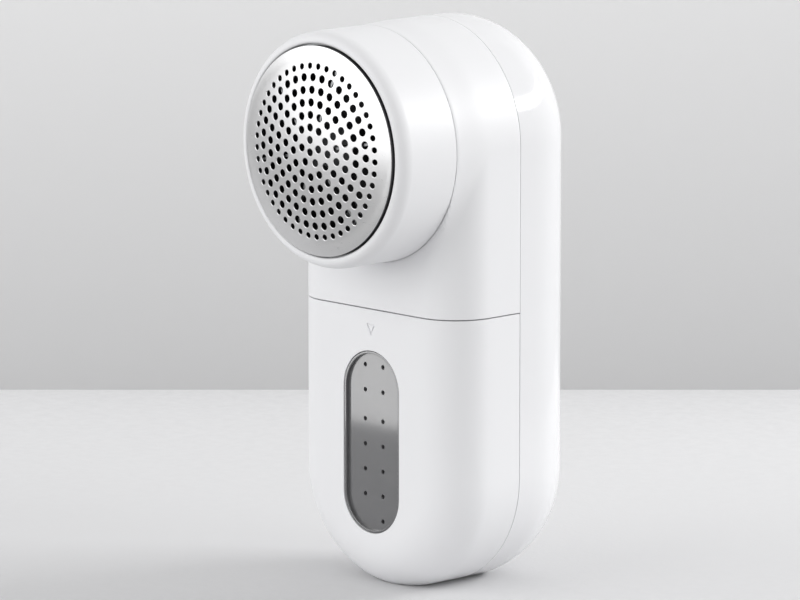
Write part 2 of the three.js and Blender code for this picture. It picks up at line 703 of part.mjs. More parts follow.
function addPowerSlider() {
  const seat = BODY_BACK - 1 + GAP;
  const pad = pillShape(5, SWITCH_Z - 1.6, SWITCH_Z + 1.6);
  let slider = plate(pad, seat, BODY_BACK + 0.3, { curveSegments: 5 })
    .add(box(-2, 2, 22, seat + 0.5, SWITCH_Z - 2, SWITCH_Z + 2))
    .subtract(box(-1.3, 1.3, 20, 23, SWITCH_Z - 1.3, SWITCH_Z + 1.3));
  for (let i = -2; i <= 2; i += 1) {
    const z = SWITCH_Z + 1.8 * i;
    slider = slider.add(box(-3, 3, seat + 0.5, BODY_BACK + 0.8, z - 0.35, z + 0.35));
  }
  add("power_slider", slider, darkGrey);
}

function addWires() {
  const boardFace = BOARD.front - GAP;
  const routes = {
    wire_motor_red: [red, [[7, 15.4, 112.5], [7.6, 16.4, 109], [6.5, 16.4, 101],
      [5, 15.6, 93.5], [4.5, boardFace - 1.3, 90.5], [4.5, boardFace, 90.3]]],
    wire_motor_black: [black, [[-7, 15.4, 112.5], [-7.6, 16.4, 109], [-6.5, 16.4, 101],
      [-5, 15.6, 93.5], [-4.5, boardFace - 1.3, 90.5], [-4.5, boardFace, 90.3]]],
    wire_battery_red: [red, [[9.4, 12.3, 64.5], [11.4, 12.8, 68], [10.6, 14.6, 74],
      [8.6, boardFace - 1.3, 78.2], [8.4, boardFace, 78.5]]],
    wire_battery_black: [black, [[-9.4, 12.3, 13.4], [-11.4, 12.6, 17], [-12, 13, 30],
      [-11.6, 13, 50], [-11.4, 13.4, 68], [-10.2, 14.8, 76], [-8.2, boardFace - 1.3, 79.8],
      [-8, boardFace, 80]]],
  };
  for (const [name, [material, points]] of Object.entries(routes)) {
    const curve = new THREE.CatmullRomCurve3(points.map((point) => new THREE.Vector3(...point)));
    add(name, thread(curve, 0.6, 3 * (points.length - 1), 5), material);
  }
}

addRearShell();
addFrontShell();
addLintBin();
addBinWindow();
addCollar();
addFoil();
addFoilFrame();
addCutterHousing();
addLintChute();
addChassis();
addMotor();
addCutter();
addInterlock();
addBattery();
addElectronics();
addPowerSlider();
addWires();
addScrews();

export default shaver;
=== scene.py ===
"""The looks of a rechargeable fabric shaver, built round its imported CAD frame. Sizes here are in
millimetres (MM turns them into Blender's metres) and follow the frame: +Z up, foil facing -Y."""

import json
import math

import bmesh
import bpy
import numpy as np
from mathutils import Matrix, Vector
from mathutils.geometry import delaunay_2d_cdt


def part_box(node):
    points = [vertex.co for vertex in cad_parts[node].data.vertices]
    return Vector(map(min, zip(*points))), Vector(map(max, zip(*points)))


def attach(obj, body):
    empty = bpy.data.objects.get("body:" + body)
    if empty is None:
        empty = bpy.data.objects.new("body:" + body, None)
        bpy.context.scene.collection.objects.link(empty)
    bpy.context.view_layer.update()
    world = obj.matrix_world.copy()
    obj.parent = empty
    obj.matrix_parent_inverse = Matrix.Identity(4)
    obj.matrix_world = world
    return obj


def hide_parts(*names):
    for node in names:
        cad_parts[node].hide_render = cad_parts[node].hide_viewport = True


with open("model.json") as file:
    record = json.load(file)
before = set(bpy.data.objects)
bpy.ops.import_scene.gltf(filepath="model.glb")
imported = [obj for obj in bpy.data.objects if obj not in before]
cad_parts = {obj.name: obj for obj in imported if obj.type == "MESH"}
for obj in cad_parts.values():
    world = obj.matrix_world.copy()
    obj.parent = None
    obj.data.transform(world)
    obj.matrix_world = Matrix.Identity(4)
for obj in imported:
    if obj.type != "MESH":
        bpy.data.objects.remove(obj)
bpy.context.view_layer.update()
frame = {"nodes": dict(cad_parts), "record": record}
MM = 0.001
NODES = frame["nodes"]


# ------------------------------------------------------------------ places taken from the frame
def span(node):
    """Lowest and highest corner of a CAD node, in millimetres."""
    low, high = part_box(node)
    return low / MM, high / MM


def middle_of(node):
    """x and z of the middle of a CAD node."""
    low, high = span(node)
    return (low.x + high.x) / 2, (low.z + high.z) / 2


REAR_LOW, REAR_HIGH = span("rear_shell")
FRONT_LOW, FRONT_HIGH = span("front_shell")
BIN_LOW, BIN_HIGH = span("lint_bin")
COLLAR_LOW, COLLAR_HIGH = span("collar")
FOIL_LOW, FOIL_HIGH = span("foil")

BODY_RADIUS = REAR_HIGH.x
BODY_TOP = REAR_HIGH.z
BODY_FRONT = BIN_LOW.y
BODY_BACK = REAR_HIGH.y
FRONT_SEAM = BIN_HIGH.y  # depth where the front pieces end
REAR_SEAM = REAR_LOW.y - 0.17  # this seam reads as a fine line
BIN_TOP = BIN_HIGH.z
SHELL_BOTTOM = FRONT_LOW.z
HEAD_Z = BODY_TOP - BODY_RADIUS
BASE_SAG = 1.0  # what the flat underside takes off the lower round
BOTTOM_Z = BODY_RADIUS - BASE_SAG  # height of the lower round's centre
WALL = 2.0
GAP = 0.3
FRONT_ROUND = 11.8  # soft edge round the front face
BACK_ROUND = 18.9  # soft edge round the back face
HEAD_RADIUS = COLLAR_HIGH.x
COLLAR_FRONT = COLLAR_LOW.y
COLLAR_REAR = COLLAR_HIGH.y
STUB_FRONT = COLLAR_REAR + 0.19
BULKHEAD_BACK = STUB_FRONT + 3
FOIL_RADIUS = FOIL_HIGH.x
FOIL_TIP = FOIL_LOW.y
FOIL_BACK = FOIL_HIGH.y
SEAM_ROUND = 0.16  # radius of the edges along every seam
SCREW_HOLE = 1.3
FACE_BAND = 0.4  # how near to the outside a point still counts as on it
FAR = 120.0  # past the whole part, for cutters


# ------------------------------------------------------------------ mesh helpers
def make(name, verts, faces):
    """A mesh object from points in millimetres."""
    mesh = bpy.data.meshes.new(name)
    mesh.from_pydata([tuple(c * MM for c in v) for v in verts], [], [tuple(f) for f in faces])
    mesh.validate()
    obj = bpy.data.objects.new(name, mesh)
    bpy.context.scene.collection.objects.link(obj)
    return obj


def outward(obj):
    """Turns every face of a closed mesh outwards."""
    bm = bmesh.new()
    bm.from_mesh(obj.data)
    bmesh.ops.recalc_face_normals(bm, faces=bm.faces)
    bm.to_mesh(obj.data)
    bm.free()
    return obj


def loft(name, rings):
    """A closed solid through rings of equal length, with flat ends."""
    count = len(rings[0])
    verts = [p for ring in rings for p in ring]
    faces = []
    for i in range(len(rings) - 1):
        for j in range(count):
            k = (j + 1) % count
            faces.append((i * count + j, i * count + k, (i + 1) * count + k, (i + 1) * count + j))
    faces.append(range(count))
    faces.append(range((len(rings) - 1) * count, len(rings) * count))
    return outward(make(name, verts, faces))


def lathe(name, profile, sides=128, x=0.0, z=None):
    """A closed [radius, depth] profile turned about an axis along Y."""
    z = HEAD_Z if z is None else z
    verts, rows = [], []
    for radius, y in profile:
        if radius < 1e-6:
            rows.append([len(verts)] * sides)
            verts.append((x, y, z))
            continue
        rows.append(range(len(verts), len(verts) + sides))
        for j in range(sides):
            angle = 2 * math.pi * j / sides
            verts.append((x + radius * math.cos(angle), y, z + radius * math.sin(angle)))
    faces = []
    closed = rows if profile[0][0] < 1e-6 and profile[-1][0] < 1e-6 else rows + [rows[0]]
    for low, high in zip(closed, closed[1:]):
        for j in range(sides):
            k = (j + 1) % sides
            corners = []
            for v in (low[j], low[k], high[k], high[j]):
                if v not in corners:
                    corners.append(v)
            if len(corners) > 2:
                faces.append(corners)
    return outward(make(name, verts, faces))


def block(name, low, high):
    """A plain box."""
    (x0, y0, z0), (x1, y1, z1) = low, high
    ring = lambda y: [(x0, y, z0), (x1, y, z0), (x1, y, z1), (x0, y, z1)]
    return loft(name, [ring(y0), ring(y1)])


def arc(centre, radius, start, end, steps):
    """Points on an arc in a plane, angles in degrees."""
    out = []
    for i in range(steps + 1):
        angle = math.radians(start + (end - start) * i / steps)
        out.append((centre[0] + radius * math.cos(angle), centre[1] + radius * math.sin(angle)))
    return out


def pill_ring(radius, low, high, y, arc_steps=64, side_steps=24):
    """Points round a pill-shaped outline in X and Z at depth y."""
    ring = []
    for side, start, end in ((1, high, low), (-1, low, high)):
        for i in range(arc_steps):
            angle = math.pi * i / arc_steps + (0 if side > 0 else math.pi)
            ring.append((radius * math.cos(angle), y, start + radius * math.sin(angle)))
        for i in range(side_steps):
            ring.append((-side * radius, y, start + (end - start) * i / side_steps))
    return ring


def pill_loft(name, low, high, profile, **steps):
    """A pill-shaped solid: profile lists [radius, depth] from one flat end to the other."""
    return loft(name, [pill_ring(radius, low, high, y, **steps) for radius, y in profile])


def boolean(obj, cutters, operation="DIFFERENCE"):
    """Cuts or joins obj with each cutter and removes the cutters."""
    for cutter in cutters:
        modifier = obj.modifiers.new("cut", "BOOLEAN")
        modifier.operation = operation
        modifier.solver = "EXACT"
        modifier.object = cutter
        graph = bpy.context.evaluated_depsgraph_get()
        mesh = bpy.data.meshes.new_from_object(obj.evaluated_get(graph))
        obj.modifiers.clear()
        obj.data = mesh
        bpy.data.objects.remove(cutter)
    return obj


def bevel_where(obj, test, width, segments=3, min_angle=30):
    """Rounds the sharp edges whose two ends, in millimetres, both pass the test."""
    bm = bmesh.new()
    bm.from_mesh(obj.data)
    bmesh.ops.remove_doubles(bm, verts=bm.verts, dist=0.004 * MM)
    bmesh.ops.dissolve_degenerate(bm, edges=bm.edges, dist=0.004 * MM)
    chosen = [
        e for e in bm.edges
        if len(e.link_faces) == 2
        and e.calc_face_angle(0) > math.radians(min_angle)
        and all(test(v.co / MM) for v in e.verts)
    ]
    bmesh.ops.bevel(
        bm, geom=chosen, offset=width * MM, segments=segments, profile=0.5,
        affect="EDGES", clamp_overlap=True,
    )
    bm.to_mesh(obj.data)
    bm.free()
    return obj


def smooth(obj, angle=28):
    """Smooth shading with creases kept sharp, and flat faces kept flat by weighted normals."""
    bm = bmesh.new()
    bm.from_mesh(obj.data)
    bmesh.ops.remove_doubles(bm, verts=bm.verts, dist=0.002 * MM)
    for face in bm.faces:
        face.smooth = True
    for edge in bm.edges:
        edge.smooth = not edge.is_manifold or edge.calc_face_angle(0) < math.radians(angle)
    bm.to_mesh(obj.data)
    bm.free()
    modifier = obj.modifiers.new("weighted", "WEIGHTED_NORMAL")
    modifier.keep_sharp = True
    modifier.weight = 80
    return obj


def piece(obj, body, material, replaces=(), angle=28):
    """Finishes a piece: shading, material, the body it rides on and the nodes it stands for."""
    if angle:
        smooth(obj, angle)
    obj.data.materials.clear()
    obj.data.materials.append(material)
    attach(obj, body)
    if replaces:
        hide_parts(*replaces)
    return obj


# ------------------------------------------------------------------ materials
class Nodes:
    """A short way to write a material's node tree."""

    def __init__(self, name):
        self.material = bpy.data.materials.new(name)
        self.material.use_nodes = True
        self.tree = self.material.node_tree
        self.shader = self.tree.nodes["Principled BSDF"]
        self.coordinates = self.tree.nodes.new("ShaderNodeTexCoord")

    def add(self, kind, inputs=None, **settings):
        node = self.tree.nodes.new("ShaderNode" + kind)
        for key, value in settings.items():
            setattr(node, key, value)
        for key, value in (inputs or {}).items():
            self.feed(node.inputs[key], value)
        return node

    def feed(self, socket, value):
        if isinstance(value, bpy.types.NodeSocket):
            self.tree.links.new(value, socket)
        else:
            socket.default_value = value

    def principled(self, **values):
        for key, value in values.items():
            self.feed(self.shader.inputs[key.replace("_", " ")], value)

    def scaled(self, scale):
        """Object coordinates stretched by scale, an (x, y, z) of repeats per metre."""
        source = self.coordinates.outputs["Object"]
        node = self.add("Mapping", {"Vector": source, "Scale": scale})
        return node.outputs["Vector"]

    def noise(self, scale, detail=3.0, roughness=0.55, stretch=(1, 1, 1)):
        vector = self.scaled(stretch)
        inputs = {"Vector": vector, "Scale": scale, "Detail": detail, "Roughness": roughness}
        return self.add("TexNoise", inputs).outputs["Fac"]

    def ramp(self, value, low, high, clamp=(0.0, 1.0)):
        """value mapped from clamp's range to low..high."""
        inputs = {"Value": value, "From Min": clamp[0], "From Max": clamp[1],
                  "To Min": low, "To Max": high}
        return self.add("MapRange", inputs).outputs["Result"]

    def mix(self, factor, first, second):
        node = self.add("Mix", data_type="RGBA")
        self.feed(node.inputs[0], factor)
        self.feed(node.inputs[6], first)
        self.feed(node.inputs[7], second)
        return node.outputs[2]

    def bump(self, height, distance, strength=1.0):
        inputs = {"Height": height, "Distance": distance * MM, "Strength": strength}
        self.feed(self.shader.inputs["Normal"], self.add("Bump", inputs).outputs["Normal"])


def moulded(name, color, roughness, grain=0.004, tone=0.012):
    """Moulded plastic: faint tone drift, fine grain and a slightly uneven gloss."""
    n = Nodes(name)
    drift = n.noise(28, detail=2)
    darker = tuple(c * (1 - tone) for c in color[:3]) + (1,)
    lighter = tuple(min(1, c * (1 + tone)) for c in color[:3]) + (1,)
    grain_noise = n.noise(5200, detail=2, roughness=0.6)
    n.principled(
        Base_Color=n.mix(drift, darker, lighter),
        Roughness=n.ramp(n.noise(60, detail=3), roughness - 0.03, roughness + 0.03, (0.3, 0.7)),
    )
    n.shader.inputs["IOR"].default_value = 1.5
    n.bump(grain_noise, grain)
    return n.material


def body_plastic(name, roughness):
    """The white ABS of the casing, which lets a little light in."""
    material = moulded(name, (0.85, 0.852, 0.866), roughness, grain=0.0012, tone=0.004)
    shader = material.node_tree.nodes["Principled BSDF"]
    shader.inputs["Subsurface Weight"].default_value = 0.04
    shader.inputs["Subsurface Radius"].default_value = (0.6, 0.6, 0.6)
    shader.inputs["Subsurface Scale"].default_value = MM
    return material


def metal(name, color, roughness, stretch=(1, 1, 1), scale=900, grain=0.003, tone=0.05):
    """Bare metal with drawn or rolled streaks along the axis that stretch keeps small."""
    n = Nodes(name)
    streak = n.noise(scale, detail=4, stretch=stretch)
    darker = tuple(c * (1 - tone) for c in color) + (1,)
    n.principled(
        Base_Color=n.mix(streak, darker, tuple(color) + (1,)),
        Roughness=n.ramp(streak, roughness - 0.05, roughness + 0.07, (0.3, 0.7)),
    )
    n.shader.inputs["Metallic"].default_value = 1.0
    n.bump(streak, grain)
    return n.material


def foil_metal():
    """Satin stainless sheet, brushed straight across, with a lighter rolled-in haze. Its folded
    flank, down in the gap beside the collar, is painted near black: painted shade for the shadow in
    that gap."""
    n = Nodes("foil_steel")
    fine = n.noise(700, detail=5, roughness=0.65, stretch=(1, 1, 9))
    haze = n.noise(30, detail=2)
    across = n.add("VectorMath", {0: n.coordinates.outputs["Object"], 1: (1, 0, 1)},
                   operation="MULTIPLY").outputs[0]
    reach = n.add("VectorMath", {0: across, 1: (0, 0, HEAD_Z * MM)}, operation="DISTANCE")
    rim = ((FOIL_RADIUS - 0.1) * MM, (FOIL_RADIUS - 0.03) * MM)
    # painted shade: past this radius the flank's colour turns near black, standing in for the
    # shadow in the gap beside the collar
    flank = n.ramp(reach.outputs["Value"], 0.0, 1.0, rim)
    sheet = n.mix(haze, (0.78, 0.78, 0.785, 1), (0.82, 0.82, 0.825, 1))
    n.principled(
        Base_Color=n.mix(flank, sheet, (0.1, 0.1, 0.105, 1)),
        Roughness=n.ramp(fine, 0.27, 0.35, (0.3, 0.7)),
    )
    n.shader.inputs["Metallic"].default_value = 1.0
    n.shader.inputs["Anisotropic"].default_value = 0.35
    n.bump(fine, 0.0006)
    return n.material


def smoke_plastic():
    """Smoke-tinted clear plastic, a little cloudy, that lets the bin show faintly."""
    n = Nodes("smoke_window")
    cloud = n.noise(160, detail=3)
    n.principled(
        Base_Color=n.mix(cloud, (0.125, 0.125, 0.13, 1), (0.145, 0.145, 0.15, 1)),
        Roughness=n.ramp(n.noise(900, detail=2), 0.07, 0.11, (0.3, 0.7)),
    )
    n.shader.inputs["IOR"].default_value = 1.7
    n.shader.inputs["Coat Weight"].default_value = 1.0
    n.shader.inputs["Coat Roughness"].default_value = 0.06
    n.shader.inputs["Alpha"].default_value = 0.88
    n.bump(n.noise(2400), 0.002)
    return n.material


def clear_plastic():
    n = Nodes("clear_plastic")
    n.principled(
        Base_Color=n.mix(n.noise(200), (0.86, 0.89, 0.90, 1), (0.93, 0.95, 0.96, 1)),
        Roughness=n.ramp(n.noise(700), 0.08, 0.16, (0.3, 0.7)),
    )
    n.shader.inputs["Transmission Weight"].default_value = 0.6
    return n.material


def rubber(name, color, roughness=0.6):
    n = Nodes(name)
    mottle = n.noise(1500, detail=4)
    darker = tuple(c * 0.8 for c in color) + (1,)
    n.principled(
        Base_Color=n.mix(mottle, darker, tuple(color) + (1,)),
        Roughness=n.ramp(mottle, roughness - 0.06, roughness + 0.08, (0.3, 0.7)),
    )
    n.bump(mottle, 0.006)
    return n.material


def board_mask():
    """Green solder mask with the weave of the glass cloth and faint tracks below it."""
    n = Nodes("board_green")
    weave = n.add("TexWave", {"Vector": n.scaled((1, 1, 1)), "Scale": 900.0, "Distortion": 0.4},
                  wave_type="BANDS", bands_direction="X").outputs["Fac"]
    tracks = n.add("TexBrick", {"Vector": n.scaled((1, 1, 1)), "Scale": 160.0,
                                "Mortar Size": 0.03, "Mortar Smooth": 0.3}).outputs["Fac"]
    green = n.mix(n.noise(300), (0.010, 0.085, 0.040, 1), (0.014, 0.11, 0.055, 1))
    n.principled(
        Base_Color=n.mix(tracks, green, (0.03, 0.20, 0.10, 1)),
        Roughness=n.ramp(weave, 0.24, 0.34),
    )
    n.bump(n.mix(0.5, weave, tracks), 0.012)
    return n.material


def cell_film():
    """Heat-shrunk film: glossy and a little rippled."""
    n = Nodes("cell_wrap")
    ripple = n.noise(420, detail=3, stretch=(1, 1, 0.35))
    n.principled(
        Base_Color=n.mix(ripple, (0.018, 0.085, 0.24, 1), (0.03, 0.12, 0.31, 1)),
        Roughness=n.ramp(ripple, 0.2, 0.34, (0.3, 0.7)),
    )
    n.bump(ripple, 0.03)
    return n.material


MATERIALS = {
    "body_white": body_plastic("body_white", 0.46),
    "rear_white": body_plastic("rear_white", 0.11),
    "foil_steel": foil_metal(),
    "smoke_window": smoke_plastic(),
    # painted shade: the blade steel is darker than bare steel so that the head's inside, seen
    # through the foil's holes, reads black like the shade in there
    "blade_steel": metal("blade_steel", (0.30, 0.305, 0.31), 0.30, scale=1500),
    "zinc_steel": metal("zinc_steel", (0.56, 0.57, 0.58), 0.36, scale=1400),
    "bright_steel": metal("bright_steel", (0.74, 0.75, 0.76), 0.22, stretch=(6, 0.4, 6)),
    "nickel": metal("nickel", (0.68, 0.66, 0.60), 0.28, scale=1100),
    "inner_white": moulded("inner_white", (0.74, 0.75, 0.755), 0.48, grain=0.012),
    "dark_plastic": moulded("dark_plastic", (0.055, 0.058, 0.062), 0.46, grain=0.014, tone=0.1),
    "black_plastic": moulded("black_plastic", (0.018, 0.018, 0.02), 0.5, grain=0.012, tone=0.12),
    "clear_plastic": clear_plastic(),
    "seal_rubber": rubber("seal_rubber", (0.045, 0.045, 0.048), 0.72),
    "cell_wrap": cell_film(),
    "board_green": board_mask(),
    "wire_red": rubber("wire_red", (0.42, 0.018, 0.012), 0.42),
    "wire_black": rubber("wire_black", (0.014, 0.014, 0.015), 0.42),
}


def dress_nodes():
    """Every CAD node starts with its slot's material, but the cutter blades get the darkened blade
    steel; replaced nodes are hidden later.
    """
    for part in frame["record"]["subparts"]:
        mesh = NODES[part["node"]].data
        mesh.materials.clear()
        # the blades take the darkened steel, painted shade for the dark inside of the head
        is_blade = part["node"].startswith("blade_") and part["node"] != "blade_hub"
        mesh.materials.append(MATERIALS["blade_steel" if is_blade else part["material_slot"]])


# ------------------------------------------------------------------ casing
def body_profile(rounding, y_flat, y_seam, inset=0.0, seam_round=SEAM_ROUND, steps=14):
    """[radius, depth] from a flat face through its soft edge to the seam, as a pill's rings."""
    way = 1 if y_seam > y_flat else -1
    radius = BODY_RADIUS - inset
    inner = radius - rounding
    profile = [[inner - 1.0, y_flat]]
    for i in range(steps + 1):
        angle = math.pi / 2 * i / steps
        profile.append([
            inner + rounding * math.sin(angle),
            y_flat + way * rounding * (1 - math.cos(angle)),
        ])
    start = y_flat + way * rounding
    stop = y_seam - way * seam_round
    for i in range(1, 5):
        profile.append([radius, start + (stop - start) * i / 4])
    if seam_round:
        for i in range(1, 4):
            angle = math.pi / 2 * i / 3
            profile.append([
                radius - seam_round * (1 - math.cos(angle)),
                stop + way * seam_round * math.sin(angle),
            ])
    return profile


def casing(name, rounding, y_flat, y_seam, inset=0.0, seam_round=SEAM_ROUND):
    """A pill-shaped solid with one soft edge, or the hollow inside it when inset is the wall."""
    low = BOTTOM_Z + inset / 2
    profile = body_profile(rounding, y_flat, y_seam, inset, seam_round)
    return pill_loft(name, low, HEAD_Z, profile)


def bar(radius, y0, y1, x=0.0, z=None, sides=64):
    """A round bar along Y, on the head's axis unless x and z say otherwise."""
    return lathe("bar", [[0, y0], [radius, y0], [radius, y1], [0, y1]], sides, x, z)


def dished_pill(radius, low, high, y0, y1, edge):
    """A pill-shaped cutter whose mouth at y0 flares by a small radius."""
    way = 1 if y1 > y0 else -1
    proud = 0.4
    profile = [[radius + edge + proud, y0 - way * proud]]
    for px, py in arc((radius + edge, y0 + way * edge), edge, 270 if way > 0 else 90, 180, 4):
        profile.append([px, py])
    profile.append([radius, y1])
    return pill_loft("dish", low, high, profile, arc_steps=40, side_steps=4)


SLIDER_REACH = 1.6  # half the straight part of the thumb pad's outline
SLIDER_TRAVEL = 4.0
SOCKET_REACH = 2.9  # half the straight part of the charging socket's outline
REAR_INSIDE = 20.0  # depth where cutters through the back wall start
REAR_POSTS = [(-18, 24, 19.5), (18, 24, 19.5), (-18, 60, 20.0), (18, 60, 20.0)]  # x, z, depth
BOARD_POSTS = [(-7.5, 72), (7.5, 94)]


def build_rear_shell():
    shell = casing("rear_shell_skin", BACK_ROUND, BODY_BACK, REAR_SEAM)
    hollow = casing("hollow", BACK_ROUND - WALL, BODY_BACK - WALL, REAR_SEAM - 1, WALL, 0.0)
    slider_z = middle_of("power_slider")[1]
    recess = dished_pill(5.3, slider_z - SLIDER_REACH, slider_z + SLIDER_REACH + SLIDER_TRAVEL,
                         BODY_BACK, BODY_BACK - 1, 0.25)
    half_slot = 2.3
    slot = block("slot", (-half_slot, REAR_INSIDE, slider_z - half_slot),
                 (half_slot, FAR, slider_z + half_slot + SLIDER_TRAVEL))
    port = port_cutter(2.0, middle_of("usb_socket")[1], BODY_BACK + 1, 0.35)
    led = bar(1.8, REAR_INSIDE, FAR, 0, middle_of("led_light_pipe")[1], 48)
    under = block("under", (-FAR, -FAR, -FAR), (FAR, FAR, 0))
    boolean(shell, [hollow, under, recess, slot, port, led])
    for x, z, back in REAR_POSTS:
        boolean(shell, [bar(3.0, 1.8, back, x, z, 32)], "UNION")
        boolean(shell, [bar(SCREW_HOLE, 0, 10.8, x, z, 24)])
    for x, z in BOARD_POSTS:
        boolean(shell, [bar(2.2, 20.1, 22.6, x, z, 24)], "UNION")
        boolean(shell, [bar(0.9, 19, 22.3, x, z, 24)])
    bevel_where(shell, lambda p: p.z < 0.02, 0.3)
    return piece(shell, "main", MATERIALS["rear_white"], ["rear_shell"])


def pill_ring_x(radius, reach, z, y, steps=14):
    """Points round a sideways pill outline at depth y."""
    ring = []
    for side in (1, -1):
        for i in range(steps + 1):
            angle = math.pi * i / steps - math.pi / 2 + (0 if side > 0 else math.pi)
            ring.append((side * reach + radius * math.cos(angle), y, z + radius * math.sin(angle)))
    return ring


def port_cutter(radius, z, mouth, flare):
    """A sideways pill-shaped cutter for the charging port, flared at its mouth."""
    path = [(0, REAR_INSIDE), (0, mouth - 1 - flare), (0.1 * flare, mouth - 1 - 0.5 * flare),
            (0.5 * flare, mouth - 1), (flare, mouth)]
    return loft("port", [pill_ring_x(radius + grow, SOCKET_REACH, z, y, 19) for grow, y in path])


# The front shell's outside: the pill body and the head's cylinder, joined by a soft blend that
# fades out where the two surfaces run together at the top and sides.
BLEND = 9.0  # reach of the fillet under the head
SWELL_RUN = 10.0  # depth over which the barrel widens to the body's width
DISH_DEPTH = 0.25  # how far the shell stands in front of the seam right beside the collar
DISH_SLOPE = 0.22  # how fast that rises away from the collar
DISH_ROUND = 1.4  # how softly it runs into the shell


def body_distance(p):
    """Distance outside the pill-shaped body with its soft front edge."""
    x, y, z = p[..., 0], p[..., 1], p[..., 2]
    spine = np.hypot(x, z - np.clip(z, BOTTOM_Z, HEAD_Z))
    across = spine - (BODY_RADIUS - FRONT_ROUND)
    along = (BODY_FRONT + FRONT_ROUND) - y
    outside = np.hypot(np.maximum(across, 0), np.maximum(along, 0))
    return outside + np.minimum(np.maximum(across, along), 0) - FRONT_ROUND


def head_distance(p):
    """The head's barrel, which swells by half a millimetre until it meets the body's sides."""
    run = np.clip((p[..., 1] - STUB_FRONT) / SWELL_RUN, 0, 1)
    swell = (BODY_RADIUS - HEAD_RADIUS) * run * run * (3 - 2 * run)
    return np.hypot(p[..., 0], p[..., 2] - HEAD_Z) - HEAD_RADIUS - swell


def gradient(function, p, step=0.02):
    """Slope of a distance function by central differences."""
    out = np.zeros(p.shape)
    for axis in range(3):
        offset = np.zeros(3)
        offset[axis] = step
        out[..., axis] = (function(p + offset) - function(p - offset)) / (2 * step)
    return out


def shell_distance(p):
    """Distance outside the blended shell."""
    body, head = body_distance(p), head_distance(p)
    turn = 1 - np.sum(gradient(body_distance, p) * gradient(head_distance, p), axis=-1)
    reach = np.maximum(BLEND * np.clip(turn, 0, 1), 1e-3)
    share = np.maximum(reach - np.abs(body - head), 0) / reach
    joined = np.minimum(body, head) - share ** 2 * reach / 4
    beyond = np.hypot(p[..., 0], p[..., 2] - HEAD_Z) - (HEAD_RADIUS + GAP)
    dish = STUB_FRONT - DISH_DEPTH - DISH_SLOPE * np.maximum(beyond, 0) - p[..., 1]
    soft = np.maximum(DISH_ROUND * np.clip(beyond / 2, 0, 1), 1e-3)
    share = np.maximum(soft - np.abs(joined - dish), 0) / soft
    return np.maximum(joined, dish) + share ** 2 * soft / 4


def front_form():
    """The blended outside as a closed solid, by marching out from the spine along meridians."""
    arc_steps, side_steps, rows = 144, 72, 90
    low = SHELL_BOTTOM - 3
    starts, normals = [], []
    for i in range(side_steps):
        starts.append((0, low + (HEAD_Z - low) * i / side_steps))
        normals.append((1, 0))
    for i in range(arc_steps + 1):
        angle = math.pi * i / arc_steps
        starts.append((0, HEAD_Z))
        normals.append((math.cos(angle), math.sin(angle)))
    for i in range(side_steps):
        starts.append((0, HEAD_Z + (low - HEAD_Z) * (i + 1) / side_steps))
        normals.append((-1, 0))
    starts, normals = np.array(starts, float), np.array(normals, float)
    pivot_radius, pivot_y = 3.0, FRONT_SEAM
    tilt = np.radians(np.linspace(0, 90, rows))
    n3 = np.stack([normals[:, 0], np.zeros(len(normals)), normals[:, 1]], -1)
    s3 = np.stack([starts[:, 0], np.full(len(starts), pivot_y), starts[:, 1]], -1)
    origin = (s3 + pivot_radius * n3)[:, None, :]
    ahead = np.array([0, 1, 0])
    way = np.cos(tilt)[None, :, None] * n3[:, None, :] - np.sin(tilt)[None, :, None] * ahead
    near, far = np.zeros(way.shape[:2]), np.full(way.shape[:2], 80.0)
    for _ in range(34):
        middle = (near + far) / 2
        inside = shell_distance(origin + middle[..., None] * way) < 0
        near, far = np.where(inside, middle, near), np.where(inside, far, middle)
    grid = origin + near[..., None] * way
    columns, count = grid.shape[:2]
    verts = [tuple(p) for p in grid.reshape(-1, 3)]
    faces = [
        (i * count + j, (i + 1) * count + j, (i + 1) * count + j + 1, i * count + j + 1)
        for i in range(columns - 1) for j in range(count - 1)
    ]
    rear = [i * count for i in range(columns)]
    front = [i * count + count - 1 for i in range(columns)]
    faces.append(rear)
    for i in range(columns // 2):
        strip = (front[i], front[i + 1], front[columns - 2 - i], front[columns - 1 - i])
        faces.append(strip if len(set(strip)) == 4 else tuple(dict.fromkeys(strip)))
    last = (columns - 1) * count
    faces.append([*range(count), *(last + j for j in reversed(range(count)))])
    return outward(make("front_form", verts, faces))


def on_face(p):
    """Whether a point lies on the body's outside."""
    return body_distance(np.array([p.x, p.y, p.z])) > -FACE_BAND


